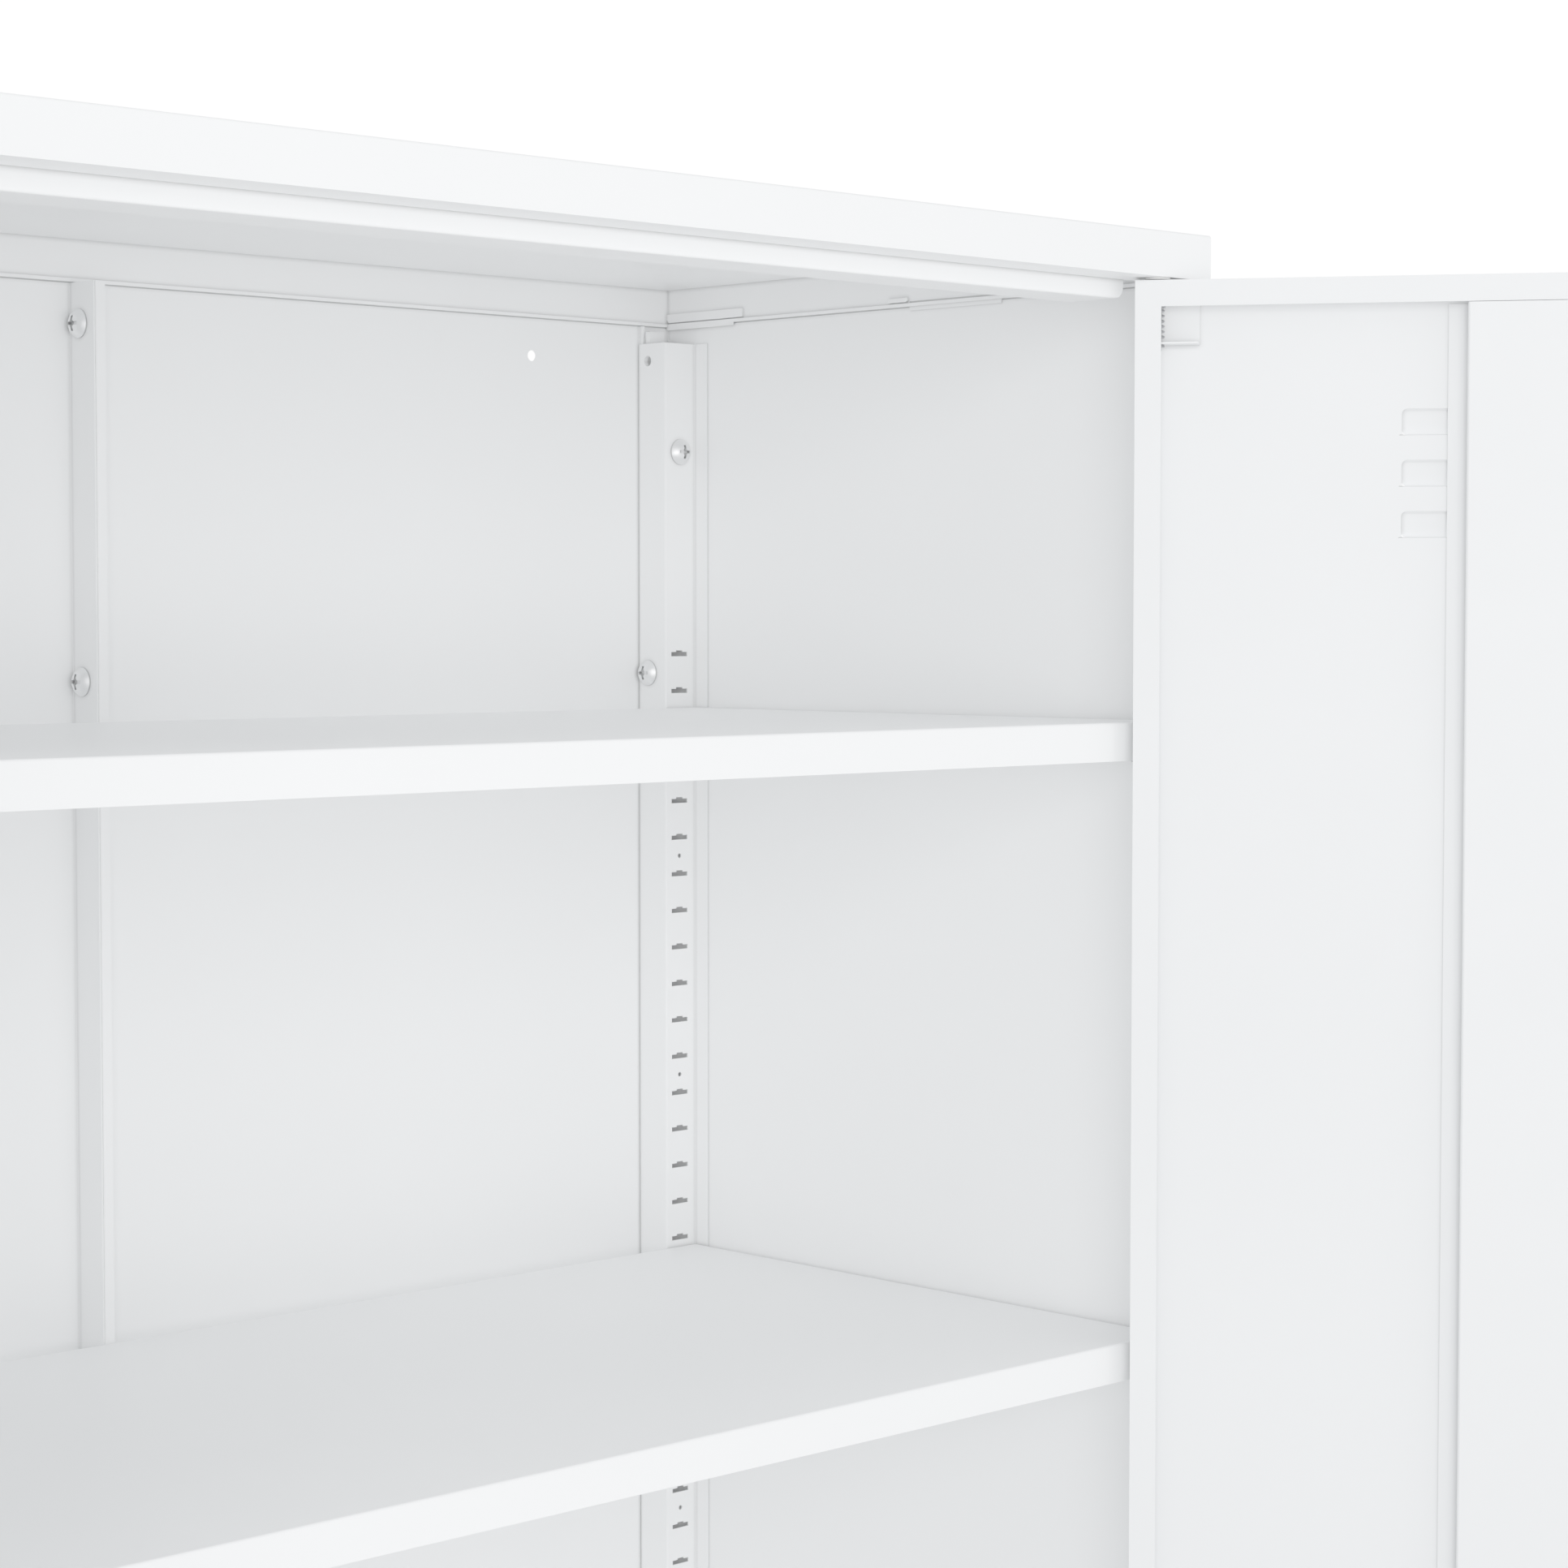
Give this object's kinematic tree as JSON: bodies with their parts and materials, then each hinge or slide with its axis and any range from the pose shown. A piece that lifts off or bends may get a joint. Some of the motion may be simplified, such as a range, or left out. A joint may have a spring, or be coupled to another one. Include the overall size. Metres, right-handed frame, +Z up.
{
  "type": "locker cabinet",
  "caption": "Steel storage cabinet with inset louvred doors on pivot pins, slotted corner posts and adjustable pan shelves.",
  "frame": {"origin": "on the floor, under the centre of the bounding box with both doors open as stored; the closed cabinet's front plane is at y = -52.78 mm and its back at y = 404.22 mm", "axes": "+Z up, +X to the right seen from the front, +Y from the front to the back"},
  "size_m": [1.3262, 0.8084, 1.829],
  "materials": {
    "white_paint": "fine powder coat, satin",
    "screw_steel": "bright nickel plate",
    "zinc_steel": "zinc plated",
    "handle_metal": "satin nickel",
    "white_plastic": "moulded, matt",
    "grey_rubber": "matt",
    "nylon": "moulded, satin"
  },
  "bodies": {
    "carcass": {"top_cap": "white_paint", "header_channel": "white_paint", "base_pan": "white_paint", "side_panel_left": "white_paint", "side_panel_right": "white_paint", "back_panel_left": "white_paint", "back_panel_right": "white_paint", "rear_post_left": "white_paint", "rear_post_right": "white_paint", "front_post_left": "white_paint", "front_post_right": "white_paint", "post_brackets": "white_paint", "seam_screws": "screw_steel", "seam_nuts": "zinc_steel", "post_screws": "screw_steel", "post_nuts": "zinc_steel", "shelf_clips": "zinc_steel", "pivot_bushes": "nylon", "foot_plates": "white_paint", "foot_lock_nuts": "zinc_steel"},
    "shelf_1": {"shelf_1": "white_paint", "shelf_stiffener_1": "white_paint"},
    "shelf_2": {"shelf_2": "white_paint", "shelf_stiffener_2": "white_paint"},
    "shelf_3": {"shelf_3": "white_paint", "shelf_stiffener_3": "white_paint"},
    "shelf_4": {"shelf_4": "white_paint", "shelf_stiffener_4": "white_paint"},
    "foot_front_left": {"foot_front_left": "zinc_steel"},
    "foot_front_right": {"foot_front_right": "zinc_steel"},
    "foot_rear_left": {"foot_rear_left": "zinc_steel"},
    "foot_rear_right": {"foot_rear_right": "zinc_steel"},
    "door_right": {"door_panel_right": "white_paint", "door_stiffener_right": "white_paint", "hinge_brackets_right": "white_paint", "pin_spring_right": "zinc_steel", "bottom_pin_right": "zinc_steel", "magnet_catch_right": "white_plastic", "door_bumper_right": "grey_rubber", "handle_plate": "handle_metal", "sleeve_nut": "zinc_steel"},
    "top_pin_right": {"top_pin_right": "zinc_steel"},
    "door_left": {"door_panel_left": "white_paint", "door_stiffener_left": "white_paint", "hinge_brackets_left": "white_paint", "pin_spring_left": "zinc_steel", "bottom_pin_left": "zinc_steel", "magnet_catch_left": "white_plastic", "door_bumper_left": "grey_rubber", "meeting_strip": "white_paint", "bolt_plate": "zinc_steel"},
    "top_pin_left": {"top_pin_left": "zinc_steel"},
    "handle": {"turn_handle": "handle_metal", "latch_cam": "zinc_steel", "cam_nut": "zinc_steel"},
    "lock_barrel": {"lock_barrel": "zinc_steel"},
    "slide_bolt": {"slide_bolt": "zinc_steel"}
  },
  "joints": [
    {"name": "shelf_1_lift", "type": "slide", "parent": "carcass", "child": "shelf_1", "axis": [0, 0, 1], "range_m": [0, 0.03]},
    {"name": "shelf_2_lift", "type": "slide", "parent": "carcass", "child": "shelf_2", "axis": [0, 0, 1], "range_m": [0, 0.03]},
    {"name": "shelf_3_lift", "type": "slide", "parent": "carcass", "child": "shelf_3", "axis": [0, 0, 1], "range_m": [0, 0.03]},
    {"name": "shelf_4_lift", "type": "slide", "parent": "carcass", "child": "shelf_4", "axis": [0, 0, 1], "range_m": [0, 0.03]},
    {"name": "foot_front_left_screw", "type": "slide", "parent": "carcass", "child": "foot_front_left", "axis": [0, 0, 1], "range_m": [-0.015, 0]},
    {"name": "foot_front_right_screw", "type": "slide", "parent": "carcass", "child": "foot_front_right", "axis": [0, 0, 1], "range_m": [-0.015, 0]},
    {"name": "foot_rear_left_screw", "type": "slide", "parent": "carcass", "child": "foot_rear_left", "axis": [0, 0, 1], "range_m": [-0.015, 0]},
    {"name": "foot_rear_right_screw", "type": "slide", "parent": "carcass", "child": "foot_rear_right", "axis": [0, 0, 1], "range_m": [-0.015, 0]},
    {"name": "door_right_hinge", "type": "hinge", "parent": "carcass", "child": "door_right", "pos_m": [0.42, -0.04428, 1], "axis": [0, 0, 1], "range_deg": [-124.5, 0]},
    {"name": "top_pin_right_slide", "type": "slide", "parent": "door_right", "child": "top_pin_right", "axis": [0, 0, 1], "range_m": [-0.0085, 0], "stiffness_N_per_m": 500, "springref_m": 0.006, "deforming": ["pin_spring_right"]},
    {"name": "door_left_hinge", "type": "hinge", "parent": "carcass", "child": "door_left", "pos_m": [-0.42, -0.04428, 1], "axis": [0, 0, 1], "range_deg": [0, 124.5]},
    {"name": "top_pin_left_slide", "type": "slide", "parent": "door_left", "child": "top_pin_left", "axis": [0, 0, 1], "range_m": [-0.0085, 0], "stiffness_N_per_m": 500, "springref_m": 0.006, "deforming": ["pin_spring_left"]},
    {"name": "handle_turn", "type": "hinge", "parent": "door_right", "child": "handle", "pos_m": [0.6373, -0.34632, 1], "axis": [0.8241, 0.5664, 0], "range_deg": [0, 90]},
    {"name": "lock_barrel_turn", "type": "hinge", "parent": "handle", "child": "lock_barrel", "pos_m": [0.6373, -0.34632, 1], "axis": [0.8241, 0.5664, 0], "range_deg": [0, 90]},
    {"name": "slide_bolt_slide", "type": "slide", "parent": "door_left", "child": "slide_bolt", "axis": [0, 0, 1], "range_m": [-0.016, 0]}
  ]
}
